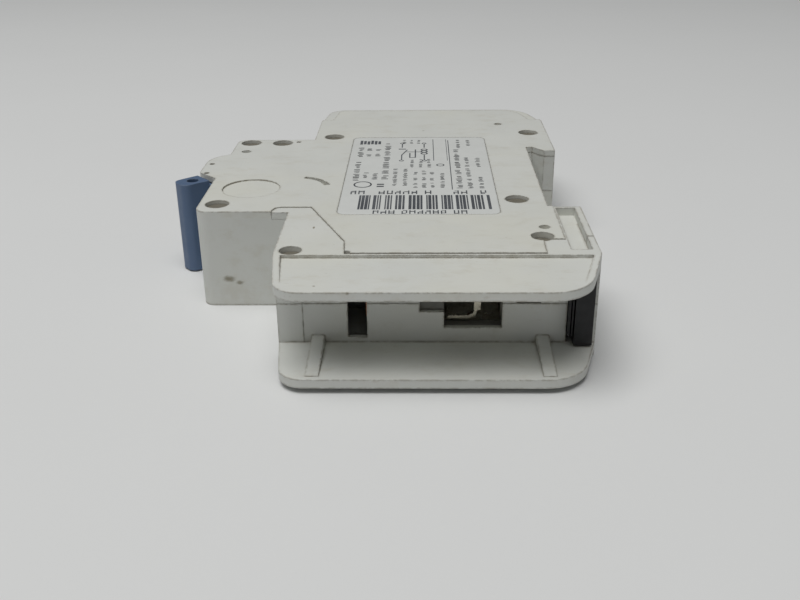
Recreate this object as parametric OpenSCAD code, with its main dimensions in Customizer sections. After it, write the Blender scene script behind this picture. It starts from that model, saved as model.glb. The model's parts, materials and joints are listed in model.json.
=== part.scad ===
// Single-pole miniature circuit breaker for a 35 mm rail, lying on its side.
// X runs from the toggle (negative) to the rail (positive), Y along the rail's
// width from the load end (negative) to the line end (positive), Z through the
// breaker's width. X = 0 is the plane the rail seats on, Y = 0 is the rail's
// centre line and Z = 0 is the base shell's outer face. Millimetres.

/* [Body] */
// Width of the breaker, one rail module
body_w = 17.5; // [17.5:0.1:18]
// Depth from the nose front to the rail plane
nose_depth = 60; // [59:0.5:61]
// Depth from the shoulders to the rail plane
shoulder_depth = 44; // [43.5:0.1:44.5]
// Depth of the rail foot behind the rail plane
foot_depth = 5.6; // [5.2:0.1:6]
// Length from the rail centre line to the tip of each end flange
half_len = 51.5; // [51:0.5:53]
// Length from the rail centre line to each end wall
wall_y = 39.5; // [39:0.1:39.8]
// Near side of the nose, from the rail centre line
nose_near = -21; // [-22:0.5:-20.5]
// Far side of the nose, from the rail centre line
nose_far = 24; // [23.5:0.5:24.5]
// Half the height of the rail recess on the clip side
recess_near = -18.4; // [-18.6:0.1:-18.2]
// Half the height of the rail recess on the hook side
recess_far = 17.9; // [17.7:0.1:18.1]

/* [Shell] */
// Thickness of the outer walls
wall_t = 1.5; // [1.3:0.1:1.6]
// Thickness of the base shell's floor
floor_t = 1.2; // [1.1:0.1:1.3]
// Thickness of the side cover plate
cover_t = 1.2; // [1.1:0.1:1.3]
// Step from the cover's face down to the load end cover
end_step = 0.15; // [0.1:0.05:0.2]
// Depth of the sunk panel on the load end flange, beside the end wall
panel_sink = 0.5; // [0.4:0.05:0.55]
// Fall of the load end flange's rims, from the end wall to where the panel fades out
flange_fall = 0.9; // [0.8:0.05:0.95]
// Thickness of the base shell's and the line end cover's flanges
flange_t = 1.45; // [1.3:0.05:1.6]
// Height of the parting line between base shell and end covers
split_z = 9; // [8.9:0.1:9.1]

/* [Toggle] */
// Lean of the toggle towards the load end when it is off, degrees
lean_off = 42.5; // [40:0.5:43]
// Length of the toggle from its pivot to its tip
toggle_len = 15.1; // [14.5:0.1:15.5]
// Thickness of the toggle's grip
toggle_t = 4.2; // [3.9:0.1:4.3]
// Radius of the drum that closes the toggle slot
drum_r = 6.6; // [6.4:0.1:6.6]
// Radius of the tie hole through the toggle tip
tie_r = 1.1; // [0.8:0.05:1.2]

/* [Contacts] */
// Swing of the moving contact between open and closed, degrees
contact_swing = 18; // [17:0.5:18]
// Number of plates in the arc chute
arc_plate_count = 12; // [10:1:12]

/* [Terminals] */
// Radius of the terminal screw's shank
screw_r = 2.5; // [2.4:0.1:2.5]
// Radius of the terminal screw's head
screw_head_r = 2.9; // [2.8:0.1:2.9]

/* [Hidden] */
$fn = 64;
eps = 0.01;
seam = 0.06;              // gap where two mouldings meet
mid_z = body_w / 2;
cover_z = body_w - cover_t;
end_z = body_w - end_step;
base_flange_z = 0.9;      // outer face of the base shell's flanges
end_flange_z = 14.95;     // inner face of the load end cover's flange
panel_y = -40.05;         // edge of the sunk panel
fade_y = -49;             // where the panel meets its falling rims
nose_x = -nose_depth;
shoulder_x = -shoulder_depth;
in_x = shoulder_x + wall_t;
rim_w = 1.1;
line_rim_w = 2.3;         // width of the line end's rim round the side cover
front_corner_r = 4;       // flange corners on the toggle side
rail_corner_r = 7;        // flange corners on the rail side
front_taper = 1.45;       // how far each flange narrows towards its tip
rail_taper = 3.6;
nose_corner_r = 2;
partition_y = 24;         // inner face of each terminal chamber
end_wall_t = 1.2;
pad_t = 0.12;             // how far the end wall's pad by the shoulder stands proud
partition_t = 1.2;
chamber_floor = 1.6;
plate_t = 1.2;            // thickness of the load end cover's face plate
rim_rise = 0.8;           // how far the line end's rim stands above its cover

// Toggle pivot and the linkage that it drives
pivot = [-55.3, 5.1];
crank_r = 3;
crank_deg = 30;
link_len = 28.246;
link_deg = -36.096;
carrier_at = [-29, -4];
ear_r = 6;
ear_deg = 265;
arm_reach = 12.8;
trip_at = [-38.5, -3];
shroud_out = 3.7;
grip_root = 9.75;         // from the toggle's pivot to the inner end of its grip

closed_deg = 25;          // direction of the contact arm when closed
rest_deg = closed_deg - contact_swing;

// Solenoid
coil_x = -28;
coil_y0 = 8.2;
coil_y1 = 21.8;
plunger_r = 2.98;
pin_tip_y = 6.6;

// Terminals
screw_y = 32.3;
cage_half = 4.1;
strip_z0 = 6.2;           // lower edge of every current-carrying strip
strip_h = 5.1;

// Rivets: [x, y, kind], kind 0 holds the side cover, kind 1 an end cover
RIVETS = [[-56.8, -17.1, 0], [-57.1, 21.7, 0], [-50.5, 21.6, 0], [-40, 26.2, 0],
    [1.6, 29.2, 0], [-4.9, -14.8, 0], [-2.5, -32.6, 1], [-41.5, -38.1, 1]];
rivet_shank_r = 1.3;
rivet_bore_r = 1.4;
rivet_head_r = 1.95;
rivet_head_t = 0.3;
rivet_play = 0.1;         // between a head and its pocket
small_head_r = 1.65;      // heads on the load end cover
boss_r = 2.9;
cover_pocket_z = cover_z + 0.25;
end_pocket_z = cover_z - 0.1;
base_pocket_z = 0.7;

// Blind gauge holes in the side cover: [x, y, radius, depth]
GAUGE_HOLES = [[-57.1, 15.3, 0.95, 0.8], [-1.7, -28.6, 0.9, 0.8], [-4.4, 36.5, 0.8, 0.7],
    [-62.4, 6.7, 0.5, 0.5], [-62.3, 0.8, 0.5, 0.5], [-47.2, 22.3, 0.45, 0.5]];

// Label
label_at = [-35.7, -22.5];
label_size = [27.5, 48];
label_r = 1.5;
label_t = 0.1;
label_sink = 0.12;        // depth of its pocket in the side cover

shell_colour = [0.75, 0.75, 0.72];
steel_colour = [0.62, 0.63, 0.65];
copper_colour = [0.72, 0.42, 0.25];

// ---------------------------------------------------------------- outlines

// What an arc of radius r takes off the corner b of a plate, between a and c
module corner_waste(a, b, c, r) {
    u = (a - b) / norm(a - b);
    v = (c - b) / norm(c - b);
    half = acos(u * v) / 2;
    centre = b + (u + v) / norm(u + v) * r / sin(half);
    difference() {
        polygon([b + u * r / tan(half), 2 * b - centre, b + v * r / tan(half), centre]);
        translate(centre) circle(r);
    }
}

// Plate through "points", each corner rounded to its own radius (0 leaves it sharp)
module rounded_plate(points, radii) {
    n = len(points);
    difference() {
        polygon(points);
        for (i = [0:n - 1])
            if (radii[i] > 0)
                corner_waste(points[(i + n - 1) % n], points[i], points[(i + 1) % n], radii[i]);
    }
}

// Plan of everything behind the shoulders, pulled in by "inset" on every side
module block_plan(inset = 0) {
    x0 = shoulder_x + inset;
    x1 = foot_depth - inset;
    y1 = half_len - inset;
    narrowing = (y1 - wall_y) / (half_len - wall_y);
    tip_x0 = x0 + front_taper * narrowing;
    tip_x1 = x1 - rail_taper * narrowing;
    front_r = front_corner_r - inset;
    rail_r = rail_corner_r - inset;
    rounded_plate(
        [[x0, -wall_y], [tip_x0, -y1], [tip_x1, -y1], [x1, -wall_y],
            [x1, wall_y], [tip_x1, y1], [tip_x0, y1], [x0, wall_y]],
        [0, front_r, rail_r, 0, 0, rail_r, front_r, 0]);
}

// Plan of the rail recess, with the undercut of the fixed hook
module recess_plan() {
    polygon([[0, recess_near], [foot_depth + 1, recess_near], [foot_depth + 1, 15.2],
        [3.4, 15.2], [1.3, recess_far], [0, recess_far]]);
}

module nose_plan(inset = 0) {
    x0 = nose_x + inset;
    x1 = shoulder_x + 2;
    y0 = nose_near + inset;
    y1 = nose_far - inset;
    r = inset == 0 ? nose_corner_r : 0;
    rounded_plate([[x0, y0], [x1, y0], [x1, y1], [x0, y1]], [r, 0, 0, r]);
}

// Cheek beside the toggle, which stands in front of the nose
module cheek_plan() {
    front_x = nose_x - shroud_out;
    difference() {
        polygon([[nose_x + 1, -2.4], [nose_x, -2.4], [front_x + 0.2, 1], [front_x, 1.4],
            [front_x, 14.5], [nose_x + 1, 14.5]]);
        // far corner, rounded about the middle of the toggle's swing
        difference() {
            translate([front_x - 1, 7.4]) square([7, 8]);
            translate([-57.2, 7.4]) circle(6.5);
        }
    }
}

// Plan of the slot that the toggle's neck swings in
module toggle_slot_plan() {
    outer = 7.85;
    inner = 5.65;
    polygon([[nose_x - 0.5, pivot[1] - outer], [nose_x + 2, pivot[1] - inner],
        [nose_x + 2, pivot[1] + inner], [nose_x - 0.5, pivot[1] + outer]]);
}

module outer_plan() {
    difference() {
        block_plan();
        recess_plan();
    }
    nose_plan();
}

// Part of the load end that the side cover reaches over
module cover_tongue_plan() {
    polygon([[-46.9, -21.5], [-46.9, -20.2], [-46.4, -19], [-45.6, -18.6], [-40.3, -18.6],
        [-33.5, -34.5], [-33.1, -wall_y], [-2.6, -wall_y], [-2.5, -33.7], [0.9, -33.7],
        [0.9, -17], [-48, -17], [-48, -21.5]]);
}

// Part of the side face that belongs to the load end cover
module load_face_plan(gap = 0) {
    difference() {
        intersection() {
            outer_plan();
            translate([-46.9, -60]) square([60, 60 + recess_near]);
        }
        offset(delta = gap) cover_tongue_plan();
    }
}

// Everything on the load side of a line across the breaker
module beyond(y) {
    translate([-70, y - 60]) square([90, 60]);
}

// Panel that is sunk into the load end flange between its two rims
module panel_plan() {
    x0 = shoulder_x + rim_w;
    x1 = foot_depth - rim_w;
    past_tip = 1;
    grow = (half_len + past_tip - wall_y) / (half_len - wall_y);
    polygon([[x0, -wall_y], [x1, -wall_y], [x1 - rail_taper * grow, -half_len - past_tip],
        [x0 + front_taper * grow, -half_len - past_tip]]);
}

module label_plan(grow = 0) {
    a = label_at - [grow, grow];
    b = label_at + label_size + [grow, grow];
    r = label_r + grow;
    rounded_plate([a, [b[0], a[1]], b, [a[0], b[1]]], [r, r, r, r]);
}

// Head radius and head height of rivet p on the cover side
function head_r(p) = p[2] == 0 ? rivet_head_r : small_head_r;
function head_z(p) = p[2] == 0 ? cover_pocket_z : end_pocket_z;

// ---------------------------------------------------------------- small shapes

module rod(p, r, z0, z1) {
    translate([p[0], p[1], z0]) cylinder(r = r, h = z1 - z0);
}

module rod_along_y(x, y0, y1, z, r) {
    translate([x, y0, z]) rotate([-90, 0, 0]) cylinder(r = r, h = y1 - y0);
}

module rod_along_x(x0, x1, y, z, r) {
    translate([x0, y, z]) rotate([0, 90, 0]) cylinder(r = r, h = x1 - x0);
}

module block(x0, x1, y0, y1, z0, z1) {
    translate([x0, y0, z0]) cube([x1 - x0, y1 - y0, z1 - z0]);
}

// Corner i of a bent strip's edge, at distance d from its centre line
function strip_edge(points, i, d) =
    let (n = len(points) - 1,
        a = i == 0 ? points[1] - points[0] : points[i] - points[i - 1],
        b = i == n ? a : points[i + 1] - points[i],
        m = [-a[1], a[0]] / norm(a) + [-b[1], b[0]] / norm(b))
    points[i] + d * 2 * m / (m * m);

// Bent flat strip of thickness t in plan, along "points"
module strip(points, t) {
    n = len(points) - 1;
    polygon(concat([for (i = [0:n]) strip_edge(points, i, t / 2)],
        [for (i = [n:-1:0]) strip_edge(points, i, -t / 2)]));
}

// The same strip stood up to the width of the current-carrying strips
module copper_strip(points, t) {
    color(copper_colour) translate([0, 0, strip_z0]) linear_extrude(strip_h) strip(points, t);
}

// Points round a coil: "turns" turns of radius r over height h about +Z
function coil_path(r, h, turns, steps) =
    [for (i = [0:turns * steps])
        [r * cos(360 * i / steps), r * sin(360 * i / steps), h * i / (turns * steps)]];

// Round wire along a path about +Z: one ring of points for each path point
module coil(r, h, turns, wire_r, steps = 14, sides = 7) {
    path = coil_path(r, h, turns, steps);
    rings = [for (i = [0:len(path) - 1])
        let (a = 360 * i / steps)
        [for (k = [0:sides - 1])
            path[i] + wire_r * (cos(360 * k / sides) * [cos(a), sin(a), 0]
                + sin(360 * k / sides) * [0, 0, 1])]];
    points = [for (ring = rings) for (p = ring) p];
    side_faces = [for (i = [0:len(path) - 2]) for (k = [0:sides - 1])
        let (n = (k + 1) % sides)
        [i * sides + k, i * sides + n, (i + 1) * sides + n, (i + 1) * sides + k]];
    last = (len(path) - 1) * sides;
    polyhedron(points, concat(side_faces,
        [[for (k = [sides - 1:-1:0]) k], [for (k = [0:sides - 1]) last + k]]), convexity = 6);
}

// Bent round wire: straight runs with a ball at each bend
module wire_path(points, r) {
    for (i = [0:len(points) - 2])
        hull() {
            translate(points[i]) sphere(r, $fn = 14);
            translate(points[i + 1]) sphere(r, $fn = 14);
        }
}

// ---------------------------------------------------------------- shells

// Openings of an end wall: cable window, busbar slot and two shallow recesses
module end_wall_openings() {
    block(-18, -9, -wall_y - 1, -wall_y + 4, 4.9, 12.6);
    block(-33, -30, -wall_y - 1, -wall_y + end_wall_t + 1, 3.2, 14.3);
    block(-21.8, -17.9, -wall_y - 1, -wall_y + 0.9, 7.6, 9.9);
    block(-6.8, -3.1, -wall_y - 1, -wall_y + 0.6, split_z, 9.9);
    rod_along_x(shoulder_x - 1, in_x + 1, -screw_y, mid_z, 3.2);
}

// Space of a terminal chamber: the window's sill and the rivet bosses stay solid
module terminal_chamber(line_end) {
    bosses = line_end ? [RIVETS[3]] : [RIVETS[6], RIVETS[7]];
    difference() {
        block(in_x, -wall_t, -wall_y + end_wall_t, -partition_y - partition_t, chamber_floor, body_w);
        block(-19, -8, -wall_y, -36.7, 0, 4.9);
        // collar rib that carries the clamp screw under its head
        block(-38.4, -37, -wall_y, -partition_y, 0, body_w);
        for (p = bosses) rod([p[0], -abs(p[1])], boss_r, 0, body_w);
    }
    rod_along_x(-39, -36, -screw_y, mid_z, screw_r + 0.05);
}

// Channel that the rail clip slides in, open through the end wall
module clip_channel() {
    block(1, 5, -half_len, recess_near + 1, 2.5, 15);
}

// Gusset ribs on the inside of a flange, standing on the face z = 0
module gussets() {
    for (x = [-37.7, -2.6])
        translate([x + 1, -wall_y + eps, 0]) rotate([90, 0, -90]) linear_extrude(2)
            polygon([[0, -0.4], [0, 1.25], [11, 0.1], [11, -0.4]]);
}

// Holes and head pockets for the rivets, through every shell
module rivet_holes() {
    for (p = RIVETS) {
        rod(p, rivet_bore_r, -1, body_w + 1);
        rod(p, rivet_head_r + rivet_play, -1, base_pocket_z);
        rod(p, head_r(p) + rivet_play, head_z(p), body_w + 1);
    }
}

// One end of the base shell, below the parting line
module base_end(line_end) {
    difference() {
        union() {
            linear_extrude(split_z) intersection() {
                block_plan();
                translate([-60, -wall_y]) square([80, wall_y - partition_y]);
            }
            translate([0, 0, base_flange_z]) linear_extrude(flange_t) intersection() {
                block_plan();
                beyond(-wall_y + eps);
            }
            translate([0, 0, base_flange_z + flange_t]) gussets();
            block(shoulder_x, -40, -wall_y - pad_t, -wall_y + 1, base_flange_z, split_z);
        }
        terminal_chamber(line_end);
        end_wall_openings();
    }
}

// One end cover between the parting line and "top", and its flange above flange_z
module end_cover(line_end, top, flange_z, flange_top) {
    difference() {
        union() {
            translate([0, 0, split_z + seam]) linear_extrude(top - split_z - seam) intersection() {
                block_plan();
                translate([-60, -wall_y]) square([80, wall_y - partition_y - partition_t]);
            }
            translate([0, 0, flange_z]) linear_extrude(flange_top - flange_z) intersection() {
                block_plan();
                beyond(-wall_y + eps);
            }
            translate([0, 0, flange_z]) mirror([0, 0, 1]) gussets();
            block(shoulder_x, -40, -wall_y - pad_t, -wall_y + 1, split_z + seam, top);
        }
        terminal_chamber(line_end);
        end_wall_openings();
    }
}

// Sets the shell back a little beside the rail's seat: under the clip, under the
// hook and behind the feet of the two end covers
module rail_seat_relief() {
    back = -0.15;
    seat_near = -16;
    seat_far = 16.9;
    past_end = partition_y + partition_t + 1;
    block(back, 1, recess_near, seat_near, -1, split_z + 1);
    block(back, 1, seat_far, recess_far, -1, split_z + 1);
    block(back, 1, -past_end, seat_near, split_z, body_w);
    block(back, 1, seat_far, past_end, split_z, body_w);
}

module base_shell() {
    color(shell_colour) difference() {
        union() {
            linear_extrude(cover_z) {
                nose_plan();
                translate([shoulder_x, -partition_y - partition_t])
                    square([shoulder_depth, 2 * (partition_y + partition_t)]);
            }
            linear_extrude(floor_t) cheek_plan();
            base_end(false);
            mirror([0, 1, 0]) base_end(true);
            linear_extrude(split_z) intersection() {
                block_plan();
                translate([-eps, -wall_y]) square([10, 2 * wall_y]);
            }
        }
        // mechanism cavity in the body and in the nose
        difference() {
            union() {
                block(in_x, -wall_t, -partition_y, partition_y, chamber_floor, body_w);
                translate([0, 0, floor_t]) linear_extrude(body_w) nose_plan(wall_t);
            }
            for (i = [0, 1, 2, 3, 5]) rod(RIVETS[i], boss_r, 0, body_w);
            rod(carrier_at, 2, 0, 5);
            rod(trip_at, 2, 0, 6);
            block(coil_x - 5, coil_x + 5, 10.5, 19.5, 0, 2.3);
            block(-41, -39, -22.5, -17.5, 0, 11.5);
        }
        rod_along_x(-42, -38, -19.9, mid_z, 1.05);
        translate([0, 0, floor_t]) linear_extrude(body_w) toggle_slot_plan();
        // passages for the terminal strips through the partitions
        for (y = [-partition_y - partition_t - 1, partition_y - 1])
            block(-21, -17.4, y, y + partition_t + 2, 5.6, body_w);
        // the load end cover's face plate laps over the base
        translate([0, 0, end_z - plate_t - seam]) linear_extrude(3) load_face_plan();
        translate([0, 0, -1]) linear_extrude(body_w + 2) recess_plan();
        rail_seat_relief();
        difference() {
            clip_channel();
            block(1.9, 4.1, -34, -33, 0, 8.8);
        }
        rod(pivot, 1.02, 0.4, body_w);
        rod(carrier_at, 1.02, 1, body_w);
        rod(trip_at, 1.02, 1, body_w);
        rivet_holes();
    }
}

// What the falling rims and the sunk panel take off the load end flange
module flange_waste() {
    past_tip = -53;
    above = 20;
    rim_low = end_z - flange_fall;
    translate([-50, 0, 0]) rotate([90, 0, 90]) linear_extrude(60)
        polygon([[panel_y, end_z], [fade_y, rim_low], [past_tip, rim_low - 0.15],
            [past_tip, above], [panel_y, above]]);
    intersection() {
        linear_extrude(above) panel_plan();
        translate([-50, 0, 0]) rotate([90, 0, 90]) linear_extrude(60)
            polygon([[panel_y, end_z - panel_sink], [fade_y, rim_low + 0.02],
                [fade_y, above], [panel_y, above]]);
    }
}

module load_end_cover() {
    color(shell_colour) difference() {
        union() {
            end_cover(false, cover_z - seam, end_flange_z, end_z - plate_t + 0.1);
            // face plate, which also carries the flange's rims
            translate([0, 0, end_z - plate_t]) linear_extrude(plate_t) load_face_plan(seam);
            translate([0, 0, split_z + seam]) linear_extrude(cover_z - split_z - 2 * seam) intersection() {
                block_plan();
                translate([seam, -wall_y]) square([10, wall_y + recess_near]);
            }
        }
        flange_waste();
        clip_channel();
        // shallow pocket over the rail clip and the slit beside it
        block(1.3, 4.5, -37.8, -19, end_z - 1.4, body_w);
        block(4.4, 6, -32.4, -32.1, end_z - 1.4, body_w);
        rivet_holes();
    }
}

module line_end_cover() {
    seat_z = cover_z - seam;
    color(shell_colour) difference() {
        union() {
            mirror([0, 1, 0]) end_cover(true, seat_z, seat_z - flange_t, cover_z + rim_rise);
            translate([0, 0, split_z + seam]) linear_extrude(seat_z - split_z - seam) intersection() {
                block_plan();
                translate([seam, recess_far - 3]) square([10, wall_y - recess_far + 3]);
            }
        }
        // seat of the side cover, framed by a rim
        translate([0, 0, seat_z]) linear_extrude(3) {
            intersection() {
                block_plan(line_rim_w);
                translate([-60, wall_y]) square([80, 30]);
            }
            translate([-60, 0]) square([80, wall_y + 1]);
        }
        translate([0, 0, -1]) linear_extrude(body_w + 2) recess_plan();
        rivet_holes();
    }
}

// Plan of the side cover, inside the line end cover's rim
module side_cover_plan() {
    difference() {
        union() {
            intersection() {
                outer_plan();
                translate([-70, -60]) square([90, 60 + wall_y + 1]);
            }
            intersection() {
                block_plan(line_rim_w + seam);
                translate([-70, wall_y]) square([90, 30]);
            }
        }
        load_face_plan();
        beyond(-wall_y + seam);
    }
}

module side_cover() {
    color(shell_colour) difference() {
        translate([0, 0, cover_z]) {
            linear_extrude(cover_t) side_cover_plan();
            linear_extrude(cover_t) cheek_plan();
        }
        rivet_holes();
        rod(RIVETS[6], small_head_r + rivet_play + seam, 0, body_w + 1);
        rod(pivot, 1.02, 0, body_w - 0.5);
        rod(carrier_at, 1.02, 0, body_w - 0.5);
        translate([0, 0, body_w - label_sink]) linear_extrude(1) label_plan(seam);
        for (p = GAUGE_HOLES) rod(p, p[2], body_w - p[3], body_w + 1);
        // round plate mark and the curved slot beside the label
        rod([-52.3, -8.4], 5.2, body_w - 0.25, body_w + 1);
        translate([0, 0, body_w - 0.9]) linear_extrude(2) intersection() {
            difference() {
                translate([-45, -8.5]) circle(7.1);
                translate([-45, -8.5]) circle(6.1);
            }
            polygon([[-45, -8.5], [-42.6, 0], [-36, 0], [-36, -5.8]]);
        }
        rod([-33, -wall_y + 0.2], 0.7, body_w - 0.8, body_w + 1);
    }
}

// Rivets: a flat head on the cover side, a rolled hollow end on the base side
module rivets() {
    bottom = base_pocket_z - rivet_head_t;
    color(steel_colour) for (p = RIVETS) difference() {
        union() {
            rod(p, rivet_shank_r, bottom, head_z(p) + rivet_head_t / 2);
            rod(p, rivet_head_r, bottom, base_pocket_z);
            rod(p, head_r(p), head_z(p), head_z(p) + rivet_head_t);
        }
        rod(p, 0.5, -1, base_pocket_z + 1.5);
    }
}

// ---------------------------------------------------------------- toggle

// Draws its children in the toggle's own frame, blade along +X, at the off position
module in_toggle() {
    translate([pivot[0], pivot[1], 0]) rotate(180 + lean_off) children();
}

function crank_at() = pivot + crank_r * [cos(crank_deg), sin(crank_deg)];

module toggle_handle() {
    z0 = floor_t + 0.2;
    h = cover_z - floor_t - 0.4;
    half = toggle_t / 2;
    neck_half = half - 0.2;
    tip_r = 1.5;
    side_gap = 0.25;
    color([0.2, 0.29, 0.42]) difference() {
        union() {
            // grip, as wide as the breaker, in front of the cheeks
            in_toggle() translate([0, 0, side_gap]) linear_extrude(body_w - 2 * side_gap)
                rounded_plate([[grip_root, -half], [toggle_len, -half], [toggle_len, half],
                    [grip_root, half]], [0, tip_r, tip_r, 0]);
            in_toggle() translate([0, 0, z0]) linear_extrude(h) {
                // neck between the cheeks
                translate([drum_r - 1, -neck_half])
                    square([grip_root - drum_r + 2, 2 * neck_half]);
                // drum sector that keeps the slot closed
                difference() {
                    circle(drum_r);
                    circle(drum_r - 1.3);
                    polygon([[0, 0], [-3, 20], [-20, 20], [-20, -20], [-3, -20]]);
                }
            }
            // web between the drum and the hub
            in_toggle() translate([0, 0, 5.6]) linear_extrude(6)
                translate([0, -neck_half]) square([drum_r - 0.5, 2 * neck_half]);
            rod(pivot, 2.2, z0, z0 + h);
            // crank ear
            rod(crank_at(), 1.9, 5.6, 11.6);
        }
        rod(pivot, 1.08, 0, body_w);
        rod(crank_at(), 0.68, 0, body_w);
        in_toggle() rod([(grip_root + toggle_len) / 2 - 0.4, 0], tie_r, -1, body_w + 1);
    }
}

module handle_pin() {
    color(steel_colour) rod(pivot, 1, 0.45, body_w - 0.55);
}

// Torsion spring round the toggle's hub, with a leg on each side
module handle_spring() {
    color(steel_colour) {
        translate([pivot[0], pivot[1], 1.9]) coil(3, 2.7, 3, 0.4);
        rod_along_x(pivot[0] + 2.9, pivot[0] + 9, pivot[1], 1.9, 0.38);
    }
}

// U-shaped wire between the toggle's crank and the contact carrier
module drive_link() {
    a = crank_at();
    color(steel_colour) {
        rod(a, 0.6, 6.4, 12.9);
        translate([a[0], a[1], 0]) rotate(link_deg) {
            rod([link_len, 0], 0.6, 6.4, 12.9);
            rod_along_x(0, link_len, 0, 12.9, 0.6);
            translate([0, 0, 12.9]) sphere(0.6, $fn = 32);
            translate([link_len, 0, 12.9]) sphere(0.6, $fn = 32);
        }
    }
}

// ---------------------------------------------------------------- contacts

// Draws its children in the contact arm's own frame, arm along +X, at "deg"
module in_contact(deg) {
    translate([carrier_at[0], carrier_at[1], 0]) rotate(deg) children();
}

module contact_carrier() {
    ear = ear_r * [cos(ear_deg), sin(ear_deg)];
    h = 6.2;
    z0 = 5.6;
    color([0.82, 0.8, 0.72]) difference() {
        union() {
            rod(carrier_at, 3, z0, z0 + h);
            rod(carrier_at + ear, 2.2, z0 + 0.3, z0 + h - 0.3);
            in_contact(rest_deg) block(0, 5.4, -2.2, 2.2, z0 + 0.5, z0 + h - 0.5);
            in_contact(ear_deg) block(0, ear_r, -1.6, 1.6, z0 + 0.8, z0 + h - 0.8);
        }
        rod(carrier_at, 1.05, 0, body_w);
        // loose hole that the drive link's leg works in
        rod(carrier_at + ear, 1.15, 0, body_w);
        in_contact(rest_deg) block(1.6, 6, -1.3, 1.3, 7.15, 10.35);
    }
}

module carrier_pin() {
    color(steel_colour) rod(carrier_at, 1, 1.05, body_w - 0.55);
}

module contact_arm() {
    color(copper_colour) in_contact(rest_deg) translate([0, 0, 7.2]) linear_extrude(3.1) {
        translate([1.7, -1.25]) square([arm_reach - 2.95, 2.5]);
        translate([arm_reach - 1.25, 0]) circle(1.25);
    }
}

module contact_button(y0) {
    translate([arm_reach - 2, y0, mid_z]) rotate([-90, 0, 0]) cylinder(r = 1.5, h = 0.9);
}

module moving_contact_tip() {
    color([0.85, 0.85, 0.83]) in_contact(rest_deg) contact_button(1.26);
}

module fixed_contact_tip() {
    color([0.85, 0.85, 0.83]) in_contact(closed_deg) contact_button(2.18);
}

// Opening spring round the carrier's boss
module contact_spring() {
    color(steel_colour) {
        translate([carrier_at[0], carrier_at[1], 2.2]) coil(2.7, 2.4, 3, 0.35);
        rod_along_x(carrier_at[0] + 2.6, carrier_at[0] + 8, carrier_at[1], 2.2, 0.33);
    }
}

// Fixed contact, its foot on the yoke and its horn over the arc chute
module fixed_contact_horn() {
    seat_y = 3.09 + 0.5;
    a = carrier_at + [8.8 * cos(closed_deg) - seat_y * sin(closed_deg),
        8.8 * sin(closed_deg) + seat_y * cos(closed_deg)];
    b = carrier_at + [12.6 * cos(closed_deg) - seat_y * sin(closed_deg),
        12.6 * sin(closed_deg) + seat_y * cos(closed_deg)];
    copper_strip([[-22.5, 6.4], a, b, [-16.4, 8], [-15.7, 14.6], [-2.6, 14.6]], 1);
}

module lower_arc_runner() {
    copper_strip([[-21, -6.5], [-16.4, -8.4], [-15.4, -11], [-2.6, -11]], 0.9);
}

// Splitter plates, each notched where the arc enters
module arc_plates() {
    color(steel_colour) for (i = [0:arc_plate_count - 1])
        translate([0, -8.9 + i * 2.03, 0]) rotate([90, 0, 0]) linear_extrude(1)
            polygon([[-14.4, 2.6], [-3, 2.6], [-3, 14.9], [-14.4, 14.9], [-14.4, 11.4],
                [-10.4, 9.3], [-10.4, 8.2], [-14.4, 6.1]]);
}

module arc_chute_cheeks() {
    color([0.55, 0.3, 0.2]) {
        block(-14.8, -2.6, -10.2, 13.9, 1.9, 2.5);
        block(-14.8, -2.6, -10.2, 13.9, 15, 15.6);
    }
}

// ---------------------------------------------------------------- release

// Lever between the plunger, the bimetal and the latch
module trip_lever() {
    color([0.85, 0.83, 0.76]) translate([0, 0, 6.8]) linear_extrude(3.8) difference() {
        union() {
            translate(trip_at) circle(2.2);
            strip([trip_at, [coil_x, pin_tip_y - 1.25]], 2);
            strip([trip_at, [-37.4, -10.8]], 1.8);
        }
        translate(trip_at) circle(1.05);
    }
}

module trip_lever_pin() {
    color(steel_colour) rod(trip_at, 1, 1.05, 12);
}

module bimetal_strip() {
    color([0.6, 0.55, 0.5]) translate([0, 0, 5.5]) linear_extrude(6.5)
        translate([-35.9, -21.7]) square([0.8, 12.7]);
}

// Set screw that trims the bimetal's gap
module calibration_screw() {
    color(steel_colour) difference() {
        rod_along_x(-41.6, -36, -19.9, mid_z, 1);
        block(-42, -41, -21, -18.8, mid_z - 0.2, mid_z + 0.2);
    }
}

// Woven lead from the bimetal's free end to the contact arm
module flexible_braid() {
    color(copper_colour) wire_path([[-34.1, -11, 6.5], [-33.4, -13.3, 3.6],
        [-25, -13.4, 3.6], [-21.5, -8, 4.4], [-21.2, -4.6, 6]], 0.9);
}

module solenoid_bobbin() {
    color([0.25, 0.25, 0.27]) difference() {
        union() {
            rod_along_y(coil_x, coil_y0, coil_y1, mid_z, 3.8);
            for (y = [coil_y0, coil_y1 - 0.8]) rod_along_y(coil_x, y, y + 0.8, mid_z, 6.2);
        }
        rod_along_y(coil_x, coil_y0 - 1, coil_y1 + 1, mid_z, 3.05);
        block(coil_x - 1, coil_x + 1, 0, 30, 12.7, body_w);
    }
}

// Winding with its two leads, to the fixed contact and to the line terminal
module solenoid_coil() {
    lead_r = 0.5;
    lead_z = 13.5;
    lead_ends = [[coil_x + 5.4, 6, 9.9], [coil_x + 9, 23.3, 20.1]];
    color(copper_colour) {
        translate([coil_x, 9.9, mid_z]) rotate([0, -90, 0]) rotate([-90, 0, 0])
            coil(4.8, 10.2, 7, 0.68, 18, 8);
        for (e = lead_ends) {
            rod_along_y(coil_x, min(e[1], e[2]), max(e[1], e[2]), lead_z, lead_r);
            rod_along_x(coil_x, e[0], e[1], lead_z, lead_r);
            rod([e[0], e[1]], lead_r, 11.9, lead_z);
            for (x = [coil_x, e[0]]) translate([x, e[1], lead_z]) sphere(lead_r, $fn = 32);
        }
    }
}

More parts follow.
